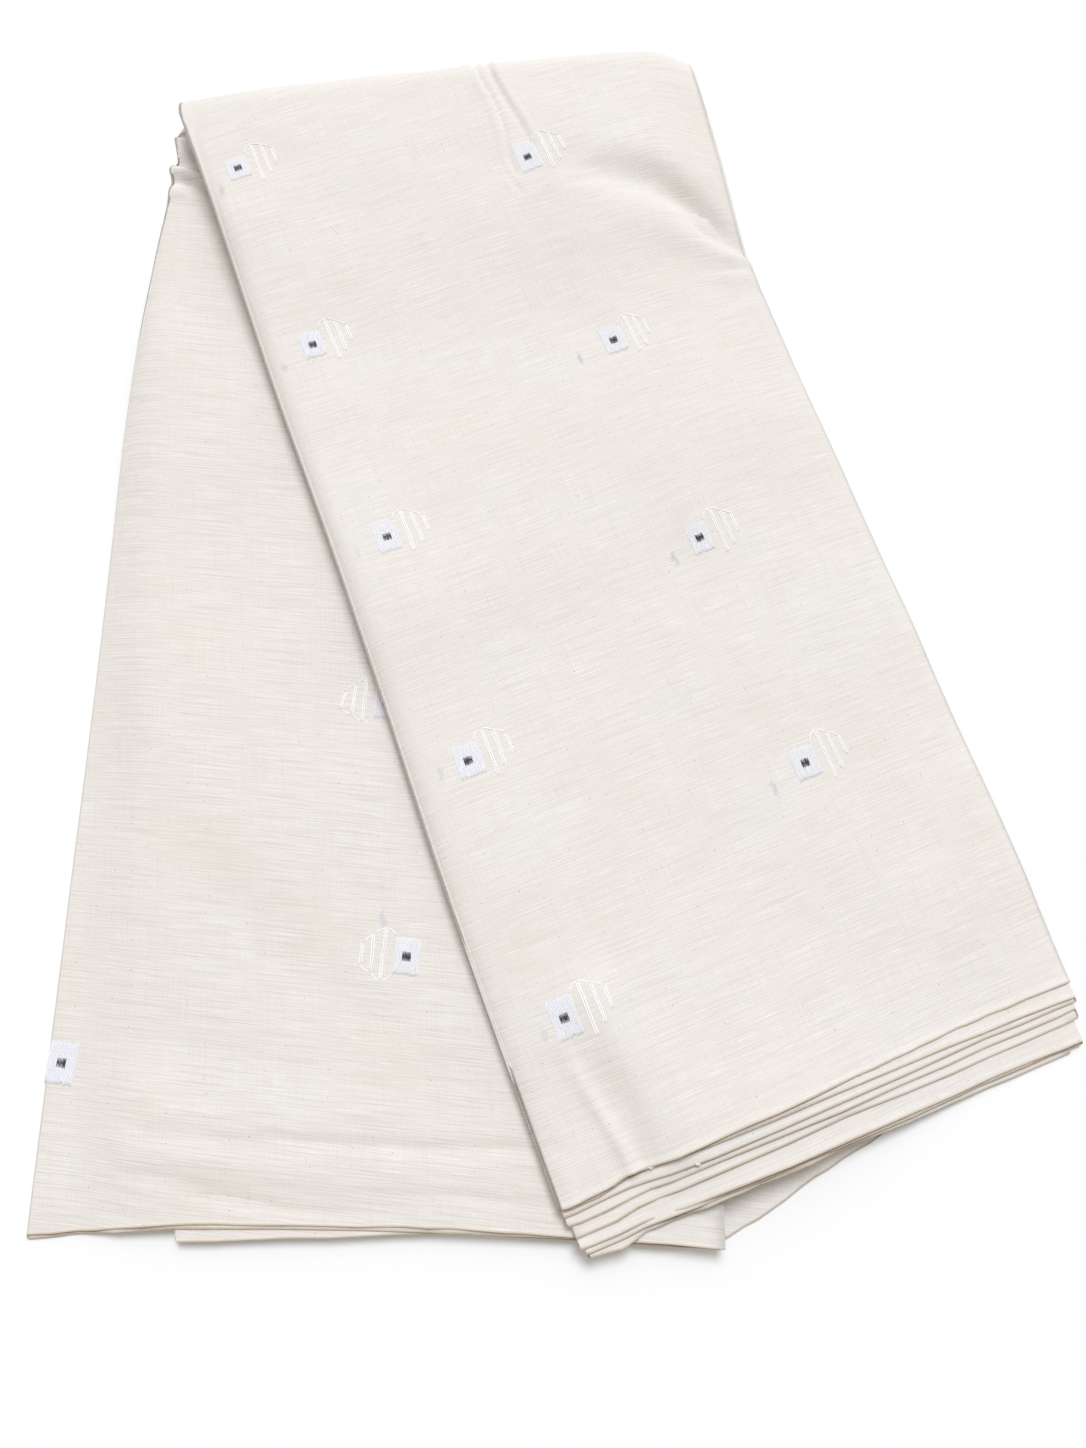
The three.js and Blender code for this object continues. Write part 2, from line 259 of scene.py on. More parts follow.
def end_run(leg, level, across):
    """Run at which a layer ends, at a place across its leg."""
    ends = RIGHT_LEG_ENDS if leg is RIGHT_LEG else LEFT_LEG_ENDS
    lower = min(int(level), LAYERS - 1)
    before, after = (np.interp(across, ends["across"], ends[LEVELS[i - 1]]) for i in (lower, lower + 1))
    end = lerp(before, after, level - lower)
    if leg is LEFT_LEG and level == 1:
        end = end - FLAP_SLANT * np.maximum(across - FLAP_CORNER, 0)
    if leg is LEFT_LEG and level > LAYERS - 2:
        end = end - SWUNG_SLANT * np.maximum(ends["across"][0] - across, 0)
    return end


def first_end(leg, across):
    return np.min([end_run(leg, level, across) for level in range(1, LAYERS + 1)], axis=0)


# Creases and folds: places across and down a leg, with the width and the height there
CREASE_COLUMNS = ("across", "down", "width", "height")
RIM_SHIFT = 1.8
RIM_SHARE = 0.5


def crease(*rows, rim=0):
    """Path of a crease. A rim is a lit edge beside it, to the left (-1) or the right (1)."""
    return {"path": rows_of(CREASE_COLUMNS, *rows), "rim": rim}


# Right leg: fine creases of the top layer alone
RIGHT_CREASES = [
    crease((24.5, -30, 1.5, 0), (25, -8, 1.5, -1.6), (26.3, 8, 1.5, -1.8), (28.4, 25, 1.5, -1.8),
           (27.7, 43, 1.5, -1.7), (24.8, 60, 1.5, -1.5), (24.7, 68, 1.6, -1.2), (27.5, 76, 1.6, 0),
           rim=-1),
    crease((24, 60, 1.3, 0), (21.5, 68, 1.3, -1), (22.5, 77, 1.3, -1), (25.5, 85, 1.3, 0)),
    crease((31, -26, 1.4, 0), (31.7, -5, 1.4, -1.3), (33.3, 10, 1.4, -1.5), (34, 20, 1.5, -1.4),
           (36.9, 37, 1.8, -1.2), (38.7, 52, 2.2, -0.8), (40.5, 62, 2.4, 0), rim=1),
    crease((28, -8, 3, 0), (30, 10, 3, -0.5), (32, 30, 3.6, -0.6), (33, 50, 4.5, -0.5), (33, 64, 5, 0)),
    crease((53, 74, 2, 0), (57.5, 67, 2.6, -1.1), (67, 60.5, 3.6, -1.1), (80, 54, 6, -0.8),
           (92, 50, 8, 0)),
    crease((-120, -26, 2, 0), (-121.5, -17, 2, -0.7), (-124.5, -9, 1.8, -0.9), (-125.3, 0, 1.6, -0.8),
           (-125.3, 14, 1.4, -0.5), (-125, 30, 1.4, 0)),
    crease((100, 149, 2.4, 0), (107, 149.5, 2.6, -1), (121, 148.5, 2.4, -1.2)),
    crease((98, 156, 3, 0), (108, 157, 3.4, 0.8), (122, 156, 3, 0.9)),
    crease((98, 166, 4, 0), (110, 167, 5, -0.6), (122, 168, 4, -0.8)),
]

# Right leg: broad folds of all its layers
RIGHT_FOLDS = [
    crease((46, 71, 8, 0), (62, 77.5, 10, -2.8), (80, 85.5, 12, -4.8), (93, 93, 11, -6),
           (103, 101.5, 9, -6), (109, 109.5, 8, -5.4), (113.5, 117.5, 7.5, -4.6), (119, 128, 6.5, -3.6),
           (124, 135, 5.5, -2.8)),
    crease((60, 104, 12, 0), (78, 112, 13, 1.4), (95, 125, 10, 2), (112, 138.5, 7.5, 1.4),
           (123, 144, 5.5, 1.2)),
    crease((-99, 474, 3, 0), (-97.2, 484, 2.8, 0.8), (-93.3, 504, 2.8, 1.5), (-89.7, 517, 2.8, 1.8),
           (-87.2, 528, 2.8, 1.9), (-85.5, 545, 2.8, 1.9), (-84, 575, 3, 1.9)),
    crease((-87, 480, 5, 0), (-84, 500, 6.5, -0.7), (-80, 520, 7.5, -1), (-77, 540, 7.5, -1),
           (-75, 575, 8, -0.9)),
    crease((-80, 556, 14, 0), (-52, 558, 18, 1.6), (-15, 556, 24, 3.4), (30, 548, 20, 1.8),
           (60, 540, 16, 0)),
]

# Left leg: its top layer, then all layers
LEFT_CREASES = [
    crease((-112, 533, 2, 0), (-99.9, 538, 2.2, -0.9), (-85, 541, 2.2, -1.1), (-71.3, 546.5, 2.2, -1.3),
           (-58, 548.7, 2.3, -1.2), (-38, 551.5, 2.4, -0.9), (-10, 552.5, 2.6, 0)),
    crease((-84, 545, 1.6, 0), (-77, 548.5, 1.6, -0.8), (-68, 551.5, 1.6, 0)),
    crease((-62, 522, 3, 0), (-42, 524.5, 2.8, -0.9), (0, 527.5, 2.8, -1.1), (52, 527.5, 2.8, -1),
           (85, 527, 3, 0)),
    crease((-122, 515, 4, 0), (-108, 520, 4, -0.8), (-60, 526, 4, -0.7), (-40, 530, 4, 0)),
    crease((-130, 526, 4, 0), (-90, 531, 5, 0.7), (-40, 538, 6, 0.8), (20, 540, 6, 0.6),
           (60, 538, 5, 0)),
    crease((5, 546, 2, 0), (25, 545, 2.2, -0.6), (50, 548, 2.2, -0.6), (66, 553, 2, 0)),
]
LEFT_FOLDS = [
    crease((-145, 282, 13, 0), (-105, 334, 14, -1.1), (-78, 368, 13, -1.3), (-50, 402, 12, -1.4),
           (-15, 440, 12, -1), (10, 462, 12, 0)),
    crease((-122, 268, 12, 0), (-88, 322, 13, 0.9), (-45, 372, 13, 1), (0, 425, 12, 0)),
    crease((-128, 386, 10, 0), (-96, 408, 11, -0.8), (-60, 440, 11, -1), (-25, 470, 10, -0.6),
           (0, 488, 10, 0)),
    crease((-118, 170, 16, 0), (-76, 235, 16, -0.7), (-40, 290, 14, -0.7), (-15, 330, 12, 0)),
    crease((-150, 470, 9, 0), (-110, 486, 10, -0.8), (-60, 494, 10, -0.9), (0, 500, 9, -0.6),
           (40, 506, 9, 0)),
]

# Crumple of the two innermost layers where the left leg leaves the top fold
CRUMPLE_LEVEL = 6.5
CRUMPLE_OUT = -126
CRUMPLE_CLEAR = 3
CRUMPLE = [
    crease((-143, 6, 3.6, 0.8), (-139.5, 12, 3.4, 2.2), (-136, 22.5, 3, 3.4), (-132.5, 32, 2.6, 3),
           (-130, 39, 2, 0)),
    crease((-137, 8, 1.8, 0), (-133.8, 13, 1.8, -1.8), (-129.4, 24, 1.8, -2), (-126, 33, 1.8, -1.4),
           (-124, 40, 1.8, 0)),
    crease((-144, 37.5, 3.4, 0.5), (-138.6, 39.5, 2.9, 2.4), (-129.6, 42, 2.6, 3.8),
           (-121.3, 44.8, 2.4, 3.4), (-113, 48, 2.6, 0)),
    crease((-142, 47, 2.2, -0.3), (-129.6, 47.3, 1.6, -2.4), (-121, 49.8, 1.6, -2), (-112, 54, 2, 0)),
    crease((-143, 52, 4, 1), (-133, 54, 4, 1.7), (-122, 58, 4.5, 0.9), (-112, 66, 6, 0)),
    crease((-141, 32.5, 2.4, -0.3), (-133, 36, 1.7, -2.6), (-128, 36.8, 1.4, 0)),
]
EAR = {"from_x": -184, "to_x": -192, "fade": 15, "left": 1.5, "up": 3.5, "lift": 1.0}

# Wrinkles of the flap at the foot of the left leg
FLAP_WRINKLES = [
    crease((134, 600, 4, 0.8), (142, 590, 4, 1.8), (151, 580, 4.5, 1.6), (160, 570, 5, 0)),
    crease((150, 608, 4, 0), (160, 596, 4.5, 1.5), (174, 584, 5, 1.4), (188, 574, 5, 0)),
    crease((176, 606, 4, 0), (188, 595, 4.5, 1.2), (202, 583, 5, 1.6), (216, 574, 5, 1)),
]


def path_height(path, across, down):
    """Height of a soft ridge or trough along a path."""
    nearest = np.full(np.broadcast(across, down).shape, np.inf)
    width, height = np.ones(nearest.shape), np.zeros(nearest.shape)
    for i in range(len(path["across"]) - 1):
        start_a, start_d = path["across"][i], path["down"][i]
        step_a, step_d = path["across"][i + 1] - start_a, path["down"][i + 1] - start_d
        share = ((across - start_a) * step_a + (down - start_d) * step_d) / (step_a**2 + step_d**2)
        share = np.clip(share, 0, 1)
        away = np.hypot(across - start_a - share * step_a, down - start_d - share * step_d)
        nearer = away < nearest
        nearest = np.where(nearer, away, nearest)
        width = np.where(nearer, lerp(path["width"][i], path["width"][i + 1], share), width)
        height = np.where(nearer, lerp(path["height"][i], path["height"][i + 1], share), height)
    return height * np.exp(-((nearest / width) ** 2))


def creases_height(creases, across, down):
    """Height of a list of creases, with their lit rims."""
    height = np.zeros(np.broadcast(across, down).shape)
    for one in creases:
        path, rim = one["path"], one["rim"]
        height = height + path_height(path, across, down)
        if rim:
            shift = rim * RIM_SHIFT * path["width"].mean()
            height = height - RIM_SHARE * path_height(path, across - shift, down)
    return height


# Soft unevenness of the cloth
def wave_field(seed, count, shortest, longest):
    """Waves of random direction, length and phase, whose sum has a height of about one."""
    draw = np.random.default_rng(seed)
    angle = draw.uniform(0, math.pi, count)
    length = np.exp(draw.uniform(math.log(shortest), math.log(longest), count))
    phase = draw.uniform(0, 2 * math.pi, count)
    height = length / np.sqrt(np.sum(length**2) / 2)
    return {"x": 2 * math.pi * np.cos(angle) / length, "y": 2 * math.pi * np.sin(angle) / length,
            "phase": phase, "height": height}


def waves(field, x, y):
    total = np.zeros(np.broadcast(x, y).shape)
    for kx, ky, phase, height in zip(field["x"], field["y"], field["phase"], field["height"]):
        total = total + height * np.sin(kx * x + ky * y + phase)
    return total


BROAD_WAVES = wave_field(3, 14, 40, 160)
FINE_WAVES = wave_field(11, 18, 9, 34)
EDGE_WAVES = wave_field(23, 16, 3, 40)
BROAD_HEIGHT = 0.5
FINE_HEIGHT = 0.06
LEVEL_SHIFT = 61
EDGE_UNEVEN = 0.17
FLAP_UNEVEN = 0.5


def leg_coordinates(leg, x, y):
    """Across and down a leg, of a place in the layout."""
    dx, dy = x - FOLD_MIDDLE[0], y - FOLD_MIDDLE[1]
    return dx * leg["across"][0] + dy * leg["across"][1], dx * leg["down"][0] + dy * leg["down"][1]


def right_detail(level, across, down):
    """Folds, creases and unevenness of a layer of the right leg and the top fold."""
    share = lerp(LOWEST_SHARE, 1, (LAYERS - level) / (LAYERS - 1))
    top = np.clip(2 - level, 0, 1)
    broad = creases_height(RIGHT_FOLDS, across, down) + BROAD_HEIGHT * waves(BROAD_WAVES, across, down)
    height = share * broad + FINE_HEIGHT * waves(FINE_WAVES, across + LEVEL_SHIFT * level, down)
    if top > 0:
        height = height + top * creases_height(RIGHT_CREASES, across, down)
    return height


def left_detail(level, x, y, run):
    """Folds, creases and unevenness of a layer of the left leg, level 1 on the surface."""
    across, down = leg_coordinates(LEFT_LEG, x, y)
    broad = creases_height(LEFT_FOLDS, across, down) + BROAD_HEIGHT * waves(BROAD_WAVES, down, across)
    fine = FINE_HEIGHT * waves(FINE_WAVES, down, across + LEVEL_SHIFT * level)
    share = np.maximum((level - 1) / (LAYERS - 1), 0)
    height = share * (broad + fine) * smoothstep(run, 0, SWELL_START)
    top = np.clip(level - (LAYERS - 1), 0, 1)
    if top > 0:
        height = height + top * creases_height(LEFT_CREASES, across, down)
    return height


def crumple(level, x, y):
    """Lift of the innermost layers beside the right leg's edge, near the top fold."""
    if level < CRUMPLE_LEVEL:
        return 0
    right_across, _ = leg_coordinates(RIGHT_LEG, x, y)
    clear = smoothstep(CRUMPLE_OUT - right_across, 0, CRUMPLE_CLEAR)
    share = np.clip(level - CRUMPLE_LEVEL, 0, 1)
    return share * clear * creases_height(CRUMPLE, *leg_coordinates(LEFT_LEG, x, y))


def pull_ear(level, x, y, z, run):
    """The fold of the innermost layers sticks out at the left end of the top fold."""
    if level < CRUMPLE_LEVEL:
        return x, y, z
    weight = smoothstep(-x, -EAR["from_x"], -EAR["to_x"]) * (1 - smoothstep(run, 0, EAR["fade"]))
    return x - EAR["left"] * weight, y + EAR["up"] * weight, z + EAR["lift"] * weight


def flap_height(x, y):
    """Wrinkles of the free end that the sheet's outer layer leaves on the surface."""
    return creases_height(FLAP_WRINKLES, *leg_coordinates(LEFT_LEG, x, y))


DROOPED_DETAIL = 0.4

# The layers are pressed flat at the sides and towards the ends of the legs
LEFT_SIDE_FLAT = 0.5
RIGHT_SIDE_FLAT = 0.75
SWUNG_SIDE_FLAT = 0.55
SIDE_FLAT_WIDTH = 10
END_FLAT = 0.6
END_FLAT_LENGTH = 330
LEAST_FLAT = 0.46
FLAT_FROM = 10
FLAT_TO = 90


def rounded_side(distance, least):
    """Rises steeply from a side and levels off, like the side of a roll."""
    inside = 1 - np.clip(distance / SIDE_FLAT_WIDTH, 0, 1)
    return lerp(least, 1, np.sqrt(1 - inside**2))


def flatness(leg, x, y):
    """Share of the full distance between layers that is left at a place of a leg."""
    across, down = leg_coordinates(leg, x, y)
    run = down - leg["sign"] * across * FOLD_TAN
    share = lerp(END_FLAT, 1, np.clip((end_run(leg, 1, across) - run) / END_FLAT_LENGTH, 0, 1))
    if leg is RIGHT_LEG:
        left, right = (read_table(RIGHT_LEG_SIDES, side, run) for side in ("left", "right"))
        share = share * rounded_side(across - left, LEFT_SIDE_FLAT)
        share = share * rounded_side(right - across, RIGHT_SIDE_FLAT)
    else:
        share = share * rounded_side(across - read_table(SWUNG_SIDE, "left", run), SWUNG_SIDE_FLAT)
    return lerp(1, np.maximum(share, LEAST_FLAT), smoothstep(run, FLAT_FROM, FLAT_TO))


def left_height(level, x, y, run):
    """Height of the middle of a layer of the left leg, level 1 on the surface."""
    pitch = pitch_at(run) * flatness(LEFT_LEG, x, y)
    out = FOLD_MIDDLE[0] + read_table(LEFT_LEG_SIDES, "left", run) - x
    droop = np.where(np.asarray(level) > LAYERS - 2, smoothstep(out, SWUNG_DROOP_FROM, SWUNG_DROOP_TO), 0)
    share = np.maximum((level - 1) / (LAYERS - 1), 0)
    lift = share * swell(LEFT_LEG_SWELLS, x, y) * smoothstep(run, 0, SWELL_START) * (1 - droop)
    height = lerp((level - 1) * pitch, (level - (LAYERS - 1)) * pitch, droop)
    kept = 1 - droop * (1 - DROOPED_DETAIL * np.clip(level - (LAYERS - 1), 0, 1))
    detail = left_detail(level, x, y, run) * kept
    flap = flap_height(x, y) if level < 2 else 0
    return SOLID_SHEET / 2 + height + lift + detail + crumple(level, x, y) + flap


def right_height(level, x, y, run):
    """Height of the middle of a layer of the right leg, level 8 lowest."""
    flat = flatness(RIGHT_LEG, x, y)
    on_left = left_height(LAYERS, x, y, run) - crumple(LAYERS, x, y)
    bend_top = BEND_HEIGHT + INNER_RADIUS
    resting = lerp(bend_top, on_left + LEG_GAP * flat, smoothstep(run, 0, SETTLE_RUN))
    on_surface = SOLID_SHEET / 2 + FLAP_CLEAR * (1 - smoothstep(x, FLAP_REACH_X, OFF_FLAP_X))
    come_down = smoothstep(x, LEFT_LEG_EDGE_X, COME_DOWN_X)
    begun = smoothstep(run, COME_DOWN_START, COME_DOWN_END)
    support = lerp(resting, on_surface, come_down * begun)
    lift = swell(RIGHT_LEG_SWELLS, x, y) * smoothstep(run, 0, SWELL_START)
    share = lerp(LOWEST_SHARE, 1, (LAYERS - level) / (LAYERS - 1))
    detail = right_detail(level, *leg_coordinates(RIGHT_LEG, x, y))
    return support + (LAYERS - level) * pitch_at(run) * flat + share * lift + detail


def round_corner(x, y):
    """The right end of the top fold drops towards the legs."""
    near = smoothstep(y, CORNER["from_y"], CORNER["to_y"])
    along = CORNER["slope"] * np.maximum(x - CORNER["from_x"], 0)
    corner = CORNER["round"] * smoothstep(x, CORNER["round_x"], CORNER["end_x"])
    return x, y - near * (along + corner)


# Mesh of the sheet: places across each layer, steps round each fold, rows along the strip.
# A zone is a stretch of them with its own spacing: from, to, count
LAYER_1_ZONES = (
    (0, 0.04, 7), (0.04, 0.1, 3), (0.1, 0.2, 15), (0.2, 0.56, 8), (0.56, 0.66, 18), (0.66, 1, 17),
)
INNER_ZONES = ((0, 0.1, 2), (0.1, 0.22, 3), (0.22, 0.7, 4), (0.7, 1, 4))
LAYER_7_ZONES = ((0, 0.14, 8), (0.14, 1, 6))
LAYER_8_ZONES = ((0, 0.12, 20), (0.12, 0.8, 20), (0.8, 1, 4))
LINE_ZONES = {1: LAYER_1_ZONES, 7: LAYER_7_ZONES, 8: LAYER_8_ZONES}
RIGHT_ROW_ZONES = ((0, 0.16, 30), (0.16, 0.31, 18), (0.31, 0.84, 24), (0.84, 1, 22))
LEFT_ROW_ZONES = ((0, 0.1, 30), (0.1, 0.86, 36), (0.86, 0.92, 8), (0.92, 1, 32))
TURN_STEPS = 3
BEND_STEPS = 15
ROWS_SETTLE_FROM = 0.55


def zone_places(zones, offset):
    """Places from 0 to 1, evenly within each zone."""
    return np.concatenate([
        low + (np.arange(count) + offset) / count * (high - low) for low, high, count in zones
    ])


def section_stops():
    """Stops along the section of the folded sheet, from the outer free end to the inner one."""
    stops = []
    for layer in range(1, LAYERS + 1):
        start, end = TURNS[layer - 1], TURNS[layer]
        forward = end["side"] > 0
        left, right = (start, end) if forward else (end, start)
        shares = zone_places(LINE_ZONES.get(layer, INNER_ZONES), 0.5)
        base = {"level": layer, "facing": 1 if forward else -1, "layer": layer}
        stops.append({**base, "turn": start, "inset": layer > 1})
        for share in shares if forward else shares[::-1]:
            stops.append({**base, "left": left, "right": right, "share": share})
        stops.append({**base, "turn": end, "inset": layer < LAYERS})
        if layer == LAYERS:
            break
        for step in range(1, TURN_STEPS):
            angle = math.pi * step / TURN_STEPS
            stops.append({**base, "turn": end, "angle": angle, "level": layer + (1 - math.cos(angle)) / 2})
    return stops


def stop_place(leg, stop, run):
    """Across of a stop, and the direction in which the sheet faces there."""
    if "share" in stop:
        left, right = turn_across(leg, stop["left"], run), turn_across(leg, stop["right"], run)
        return lerp(left, right, stop["share"]), 0, stop["facing"]
    radius = pitch_at(run) / 2
    side = stop["turn"]["side"]
    edge = turn_across(leg, stop["turn"], run)
    if "angle" not in stop:
        return edge - side * radius if stop["inset"] else edge, 0, stop["facing"]
    out = math.sin(stop["angle"])
    across = edge - side * radius * (1 - out)
    return across, side * stop["facing"] * out, stop["facing"] * math.cos(stop["angle"])


def uneven_end(leg, stop, across):
    """How much further down a layer's end lies than its table says."""
    layer = stop["layer"]
    height = FLAP_UNEVEN if leg is LEFT_LEG and layer == 1 else EDGE_UNEVEN
    own, following = (waves(EDGE_WAVES, across, LEVEL_SHIFT * i) for i in (layer, layer + 1))
    return height * lerp(own, following, stop["level"] - layer)


def leg_column(leg, stop, shares, side):
    """Column of points of one stop down a leg, with its places on the cloth."""
    level = stop["level"]
    rough, _, _ = stop_place(leg, stop, shares * sides_of(leg)["run"][-1])
    first, end = first_end(leg, rough), end_run(leg, level, rough)
    end = end + uneven_end(leg, stop, rough)
    run = shares * lerp(first, end, smoothstep(shares, ROWS_SETTLE_FROM, 1))
    across, face_across, face_up = stop_place(leg, stop, run)
    shift = side * SHEET / 2
    x, y = leg_place(leg, across + shift * face_across, run)
    height = right_height if leg is RIGHT_LEG else left_height
    z = height(level, x, y, run) + leg["sign"] * shift * face_up
    x, y, z = pull_ear(level, x, y, z, run)
    x, y = round_corner(x, y)
    down = run + leg["sign"] * across * FOLD_TAN
    return np.stack([x, y, z], -1), across, down, end - run


def bend_column(stop, turned, side):
    """Column of points of one stop round the top fold."""
    above, face_across, face_up = stop_place(RIGHT_LEG, stop, 0.0)
    below, _, _ = stop_place(LEFT_LEG, stop, 0.0)
    across = lerp(above, below, smoothstep(turned, 0, math.pi))
    shift = side * SHEET / 2
    down = across * FOLD_TAN - OUTER_RADIUS * turned
    radius = INNER_RADIUS + (LAYERS - stop["level"]) * BEND_PITCH + shift * face_up
    detail = right_detail(stop["level"], across, down) * (1 - smoothstep(turned, math.pi / 2, math.pi))
    out = radius + detail
    along = (across + shift * face_across) / math.cos(FOLD_ANGLE)
    x, y = (FOLD_MIDDLE[i] + FOLD_ALONG[i] * along - FOLD_INTO[i] * out * np.sin(turned) for i in (0, 1))
    z = BEND_HEIGHT + out * np.cos(turned)
    x, y, z = pull_ear(stop["level"], x, y, z, 0.0)
    x, y = round_corner(x, y)
    return np.stack([x, y, z], -1), across, down, np.full(len(turned), float(CLOTH_WIDTH))


# Cloth directions: the weave is turned a little in the right leg and sheared in the left one
RIGHT_WARP_TURN = math.tan(math.radians(2.4))
RIGHT_WEFT_TURN = math.tan(math.radians(2.3))
LEFT_WARP_TURN = math.tan(math.radians(-5.8))
LEFT_WEFT_TURN = math.tan(math.radians(5.0))


def cloth_place(leg, stop, across, down):
    """Coordinates along the warp and the weft, in millimetres, and the layer."""
    warp_turn = RIGHT_WARP_TURN if leg is RIGHT_LEG else LEFT_WARP_TURN
    weft_turn = RIGHT_WEFT_TURN if leg is RIGHT_LEG else LEFT_WEFT_TURN
    along_weft = down + across * warp_turn
    along_warp = stop["facing"] * (across - down * weft_turn) + stop["layer"] * LAYER_WIDTH
    if leg is LEFT_LEG:
        along_weft = -along_weft - math.pi * OUTER_RADIUS
    layer = np.full(np.shape(across), float(stop["layer"]))
    return np.stack([along_warp, along_weft, layer], -1)


def folded_sheet():
    """The sheet as one closed thin skin: points, faces, cloth coordinates, selvedge distances and
    the number of faces before the rims, and the line of each selvedge."""
    stops = section_stops()
    turned = np.linspace(0, math.pi, BEND_STEPS + 1)
    right_rows, left_rows = zone_places(RIGHT_ROW_ZONES, 1), zone_places(LEFT_ROW_ZONES, 1)
    skins, cloths, edges = [], [], []
    for side in (1, -1):
        points, cloth, edge = [], [], []
        for stop in stops:
            columns = (
                (RIGHT_LEG, leg_column(RIGHT_LEG, stop, right_rows, side), -1),
                (RIGHT_LEG, bend_column(stop, turned, side), 1),
                (LEFT_LEG, leg_column(LEFT_LEG, stop, left_rows, side), 1),
            )
            points.append(np.concatenate([column[0][::order] for _, column, order in columns]))
            cloth.append(np.concatenate([
                cloth_place(leg, stop, column[1], column[2])[::order] for leg, column, order in columns
            ]))
            edge.append(np.concatenate([column[3][::order] for _, column, order in columns]))
        skins.append(np.stack(points, 1))
        cloths.append(np.stack(cloth, 1))
        edges.append(np.stack(edge, 1))
    rows, count = skins[0].shape[:2]
    number = np.arange(2 * rows * count).reshape(2, rows, count)
    a, b = number[:, :-1, :-1], number[:, 1:, :-1]
    c, d = number[:, 1:, 1:], number[:, :-1, 1:]
    outer = np.stack([a[0], d[0], c[0], b[0]], -1).reshape(-1, 4)
    inner = np.stack([a[1], b[1], c[1], d[1]], -1).reshape(-1, 4)
    rims = []
    lines = (
        (number[:, :, 0], True),
        (number[:, :, -1], False),
        (number[:, 0, :], False),
        (number[:, -1, :], True),
    )
    for line, flip in lines:
        quad = [line[0, :-1], line[0, 1:], line[1, 1:], line[1, :-1]]
        rims.append(np.stack(quad[::-1] if flip else quad, -1))
    middle = (skins[0] + skins[1]) / 2
    return {
        "points": np.concatenate([skin.reshape(-1, 3) for skin in skins]),
        "faces": np.concatenate([outer, inner, *rims]),
        "smooth_faces": len(outer) + len(inner),
        "cloth": np.concatenate([cloth.reshape(-1, 3) for cloth in cloths]),
        "edge": np.concatenate([edge.ravel() for edge in edges]),
        "selvedges": {"right": middle[0], "left": middle[-1]},
    }


def to_metres(points):
    out = np.array(points, float)
    out[:, :2] -= ORIGIN
    return out * MM


def new_piece(name, points, faces, materials, material_index=None, smooth=None):
    """Mesh object that rides on the body, from places in the layout."""
    mesh = bpy.data.meshes.new(name)
    mesh.from_pydata(to_metres(points).tolist(), [], [list(map(int, face)) for face in faces])
    mesh.update()
    mesh.polygons.foreach_set("use_smooth", np.full(len(faces), True) if smooth is None else smooth)
    for material in materials:
        mesh.materials.append(material)
    if material_index is not None:
        mesh.polygons.foreach_set("material_index", material_index)
    piece = bpy.data.objects.new(name, mesh)
    bpy.context.collection.objects.link(piece)
    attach(piece, "root")
    return piece


# Camera
scene = bpy.context.scene
camera = bpy.data.objects.new("camera", bpy.data.cameras.new("camera"))
bpy.context.collection.objects.link(camera)
camera.data.sensor_width = SENSOR
camera.data.lens = FOCAL_PX / PHOTO_HEIGHT_PX * SENSOR
camera.location = (
    -ORIGIN[0] * MM,
    (-CAMERA_DISTANCE * math.cos(CAMERA_ELEVATION) - ORIGIN[1]) * MM,
    CAMERA_DISTANCE * math.sin(CAMERA_ELEVATION) * MM,
)
camera.rotation_euler = (math.pi / 2 - CAMERA_ELEVATION, 0, 0)
camera.data.clip_start = 0.01
scene.camera = camera


# Materials
def linear(value):
    value /= 255
    return value / 12.92 if value <= 0.04045 else ((value + 0.055) / 1.055) ** 2.4


def colour(red, green, blue):
    return (linear(red), linear(green), linear(blue), 1)


def new_material(name, roughness=0.92, sheen=0.0):
    material = bpy.data.materials.new(name)
    material.use_nodes = True
    shader = material.node_tree.nodes["Principled BSDF"]
    shader.inputs["Roughness"].default_value = roughness
    shader.inputs["Specular IOR Level"].default_value = 0.2
    shader.inputs["Sheen Weight"].default_value = sheen
    shader.inputs["Sheen Roughness"].default_value = 0.5
    return material, material.node_tree, shader


def add_node(tree, kind, **settings):
    node = tree.nodes.new(kind)
    for name, value in settings.items():
        setattr(node, name, value)
    return node


def set_input(tree, node, name, value):
    """Puts a socket or a plain value into an input."""
    if isinstance(value, bpy.types.NodeSocket):
        tree.links.new(value, node.inputs[name])
    else:
        node.inputs[name].default_value = value


def maths(tree, operation, *values):
    node = add_node(tree, "ShaderNodeMath", operation=operation)
    for i, value in enumerate(values):
        set_input(tree, node, i, value)
    return node.outputs[0]


def vector_maths(tree, operation, *values, output="Vector"):
    node = add_node(tree, "ShaderNodeVectorMath", operation=operation)
    for i, value in enumerate(values):
        set_input(tree, node, i, value)
    return node.outputs[output]


def noise(tree, place, stretch, detail=2.0, roughness=0.5, output="Fac"):
    """Noise whose grains have the given lengths along the place's axes."""
    scaled = vector_maths(tree, "MULTIPLY", place, tuple(1 / length for length in stretch))
    node = add_node(tree, "ShaderNodeTexNoise")
    set_input(tree, node, "Vector", scaled)
    set_input(tree, node, "Scale", 1.0)
    set_input(tree, node, "Detail", detail)
    set_input(tree, node, "Roughness", roughness)
    return node.outputs[output]


def ramp(tree, value, low, high, to_low=0.0, to_high=1.0):
    node = add_node(tree, "ShaderNodeMapRange")
    for name, number in (("From Min", low), ("From Max", high), ("To Min", to_low), ("To Max", to_high)):
        set_input(tree, node, name, number)
    set_input(tree, node, "Value", value)
    return node.outputs[0]


def mix(tree, factor, first, second):
    node = add_node(tree, "ShaderNodeMix", data_type="RGBA")
    set_input(tree, node, 0, factor)
    set_input(tree, node, 6, first)
    set_input(tree, node, 7, second)
    return node.outputs[2]


def bump(tree, shader, height, strength, distance):
    node = add_node(tree, "ShaderNodeBump")
    set_input(tree, node, "Strength", strength)
    set_input(tree, node, "Distance", distance)
    set_input(tree, node, "Height", height)
    tree.links.new(node.outputs[0], shader.inputs["Normal"])


